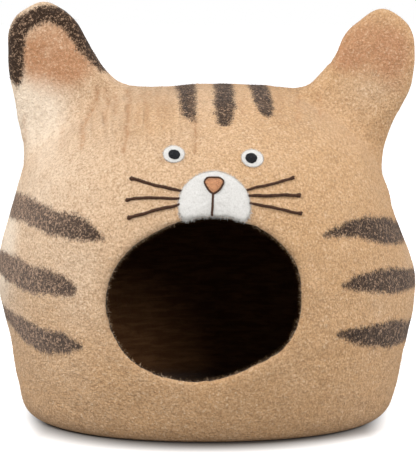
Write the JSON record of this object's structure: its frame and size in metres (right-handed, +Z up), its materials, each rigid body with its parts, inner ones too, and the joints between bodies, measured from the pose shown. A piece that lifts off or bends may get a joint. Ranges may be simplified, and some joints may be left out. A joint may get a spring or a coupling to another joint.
{
  "type": "felt cat cave",
  "caption": "Round cat cave of thick felted wool with a flat base, a wide round way in at the front, pointed ears and a cat's face of felt patches and yarn.",
  "frame": {"origin": "on the floor under the middle of the cave, on the flat underside of the base", "axes": "+Z up, the way in and the cat's face look towards -Y, +X to the right when looking at the face"},
  "size_m": [0.4125, 0.3807, 0.407],
  "materials": {
    "tan_felt": "hand-felted wool with dyed brown bands and a dark brown inside",
    "white_felt": "soft white felt",
    "black_felt": "black felt",
    "rust_thread": "satin stitches of rust thread",
    "brown_yarn": "twisted dark brown yarn"
  },
  "bodies": {
    "root": {"body": "tan_felt", "eye_white_left": "white_felt", "eye_white_right": "white_felt", "pupil_left": "black_felt", "pupil_right": "black_felt", "muzzle": "white_felt", "nose": "rust_thread", "nose_edge": "brown_yarn", "mouth_line": "brown_yarn", "whisker_left_1": "brown_yarn", "whisker_left_2": "brown_yarn", "whisker_left_3": "brown_yarn", "whisker_right_1": "brown_yarn", "whisker_right_2": "brown_yarn", "whisker_right_3": "brown_yarn"}
  },
  "joints": []
}
